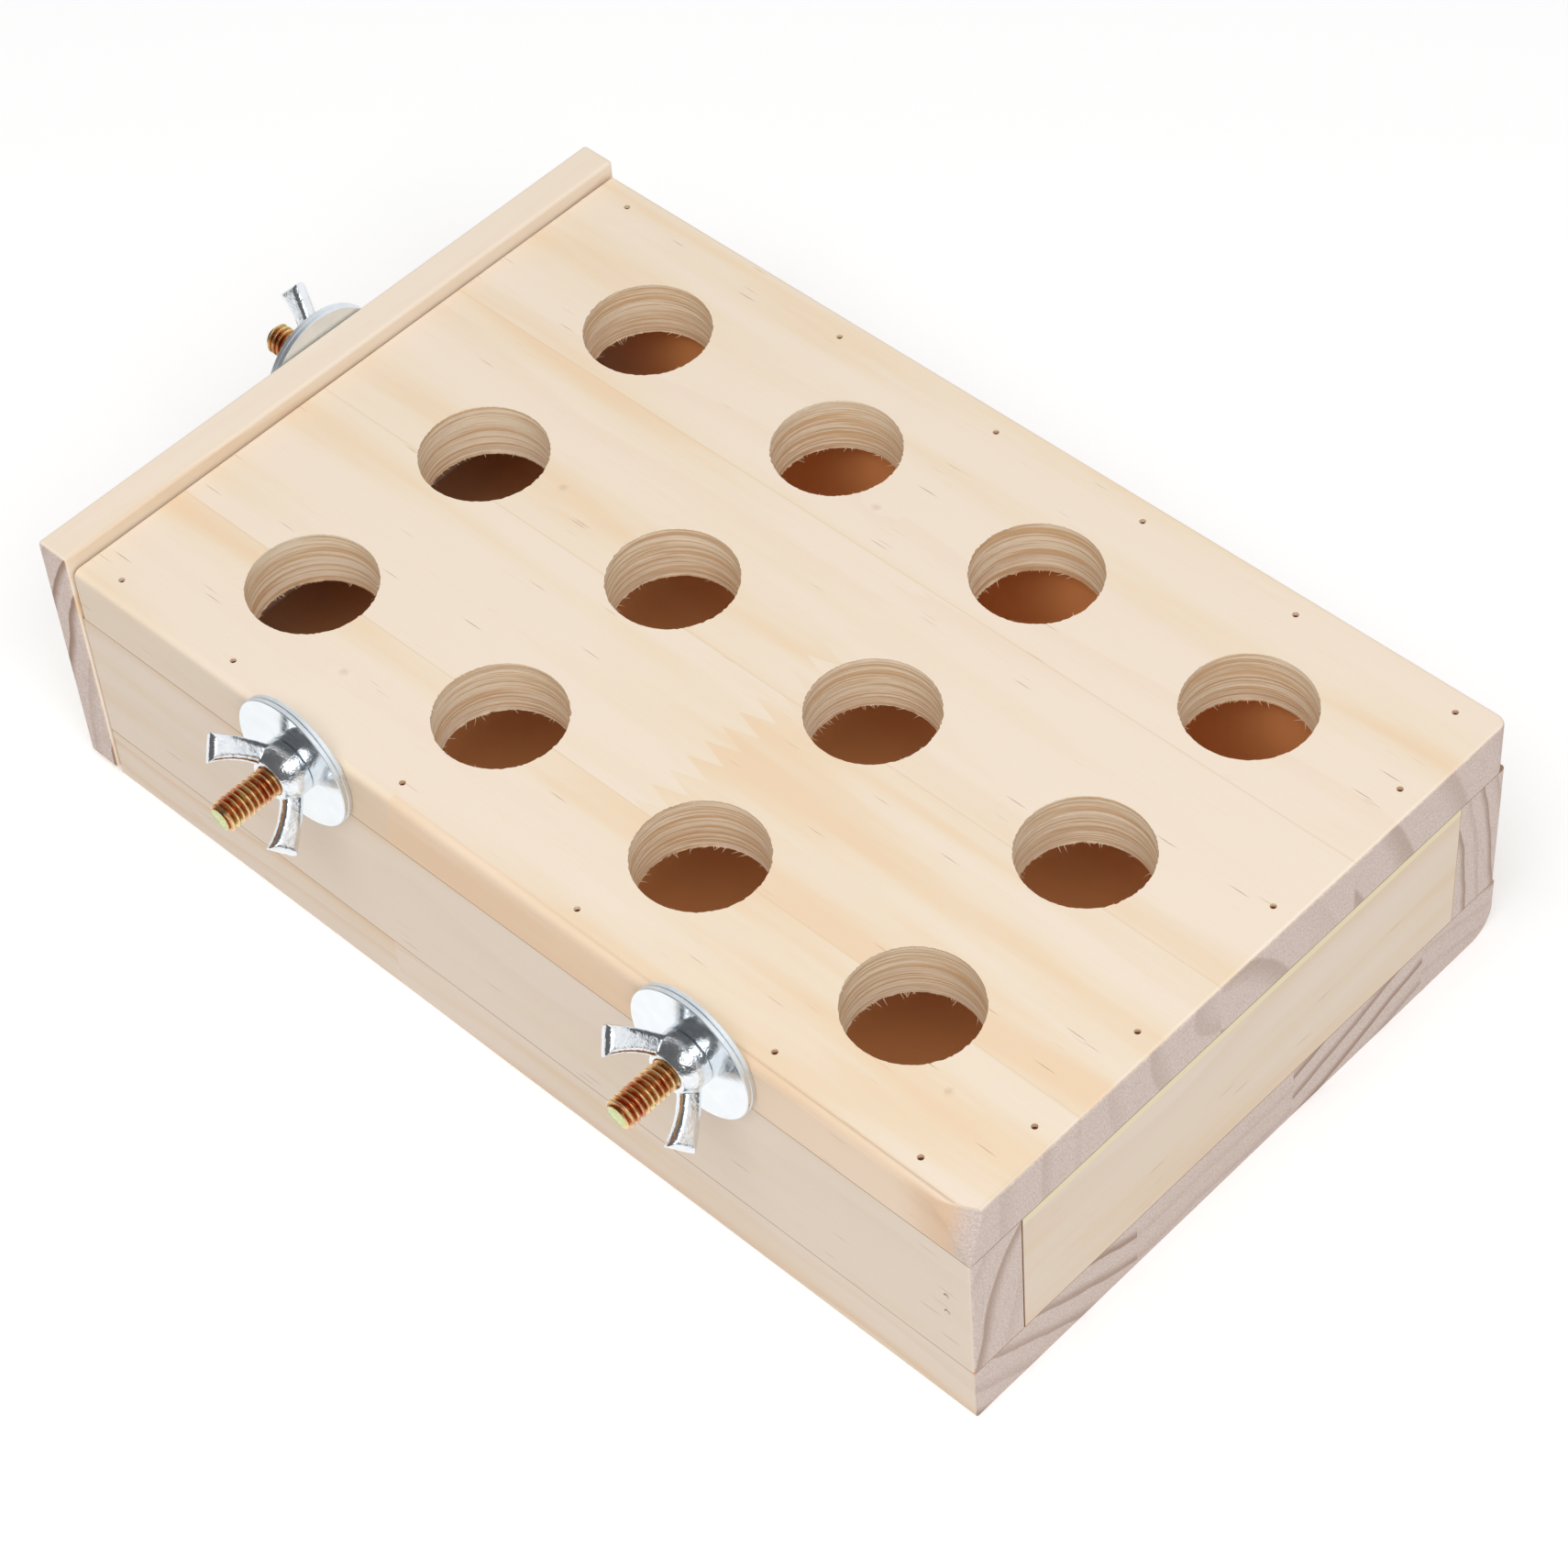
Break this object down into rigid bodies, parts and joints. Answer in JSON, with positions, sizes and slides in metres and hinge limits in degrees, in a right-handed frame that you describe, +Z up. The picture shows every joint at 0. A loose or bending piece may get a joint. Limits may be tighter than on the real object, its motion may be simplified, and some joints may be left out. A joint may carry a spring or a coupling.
{
  "type": "wooden egg holder box",
  "caption": "Low wooden box with rows of round holes through its top, a swinging end cover and threaded clamp studs with washers and wing nuts.",
  "frame": {"origin": "middle of the underside of the bottom board, where the box stands", "axes": "+X along the box to its fixed end, the cover is at -X; +Y to the back, the clamp studs point along -Y; +Z up"},
  "size_m": [0.254, 0.1677, 0.067],
  "materials": {
    "pine": "sanded, unvarnished",
    "bright_zinc": "bright zinc plate, nearly a mirror",
    "yellow_zinc": "yellow passivated zinc with an iridescent sheen",
    "nail_steel": "dull"
  },
  "bodies": {
    "root": {"top_board": "pine", "bottom_board": "pine", "front_side_board": "pine", "back_side_board": "pine", "fixed_end_board": "pine", "left_stud": "yellow_zinc", "right_stud": "yellow_zinc", "cover_stud": "yellow_zinc", "top_front_nails": "nail_steel", "top_back_nails": "nail_steel", "top_end_nails": "nail_steel", "bottom_front_nails": "nail_steel", "bottom_back_nails": "nail_steel", "bottom_end_nails": "nail_steel", "front_corner_nails": "nail_steel", "back_corner_nails": "nail_steel"},
    "end_cover": {"end_cover": "pine"},
    "left_inner_washer": {"left_inner_washer": "bright_zinc"},
    "left_outer_washer": {"left_outer_washer": "bright_zinc"},
    "left_wing_nut": {"left_wing_nut": "bright_zinc"},
    "right_inner_washer": {"right_inner_washer": "bright_zinc"},
    "right_outer_washer": {"right_outer_washer": "bright_zinc"},
    "right_wing_nut": {"right_wing_nut": "bright_zinc"},
    "cover_inner_washer": {"cover_inner_washer": "bright_zinc"},
    "cover_outer_washer": {"cover_outer_washer": "bright_zinc"},
    "cover_wing_nut": {"cover_wing_nut": "bright_zinc"}
  },
  "joints": [
    {"name": "cover_swing", "type": "hinge", "parent": "root", "child": "end_cover", "pos_m": [-0.1193, 0, 0.0528], "axis": [1, 0, 0], "continuous": true},
    {"name": "left_nut_turn", "type": "hinge", "parent": "left_outer_washer", "child": "left_wing_nut", "pos_m": [-0.0514, -0.0756, 0.0528], "axis": [0, -1, 0], "range_deg": [0, 3240]},
    {"name": "left_outer_slide", "type": "slide", "parent": "root", "child": "left_outer_washer", "axis": [0, -1, 0], "range_m": [0, 0.01143]},
    {"name": "left_inner_slide", "type": "slide", "parent": "root", "child": "left_inner_washer", "axis": [0, -1, 0], "range_m": [0, 0.00571]},
    {"name": "right_nut_turn", "type": "hinge", "parent": "right_outer_washer", "child": "right_wing_nut", "pos_m": [0.0514, -0.0756, 0.0528], "axis": [0, -1, 0], "range_deg": [0, 3240]},
    {"name": "right_outer_slide", "type": "slide", "parent": "root", "child": "right_outer_washer", "axis": [0, -1, 0], "range_m": [0, 0.01143]},
    {"name": "right_inner_slide", "type": "slide", "parent": "root", "child": "right_inner_washer", "axis": [0, -1, 0], "range_m": [0, 0.00571]},
    {"name": "cover_nut_turn", "type": "hinge", "parent": "cover_outer_washer", "child": "cover_wing_nut", "pos_m": [-0.1254, 0, 0.0528], "axis": [-1, 0, 0], "range_deg": [0, 3240]},
    {"name": "cover_outer_slide", "type": "slide", "parent": "root", "child": "cover_outer_washer", "axis": [-1, 0, 0], "range_m": [0, 0.01143]},
    {"name": "cover_inner_slide", "type": "slide", "parent": "root", "child": "cover_inner_washer", "axis": [-1, 0, 0], "range_m": [0, 0.00571]}
  ],
  "couplings": [
    {"joint": "left_nut_turn", "follows": "left_outer_slide", "rad_per_m": 4947.4},
    {"joint": "left_inner_slide", "follows": "left_outer_slide", "ratio": 0.5},
    {"joint": "right_nut_turn", "follows": "right_outer_slide", "rad_per_m": 4947.4},
    {"joint": "right_inner_slide", "follows": "right_outer_slide", "ratio": 0.5},
    {"joint": "cover_nut_turn", "follows": "cover_outer_slide", "rad_per_m": 4947.4},
    {"joint": "cover_inner_slide", "follows": "cover_outer_slide", "ratio": 0.5}
  ]
}
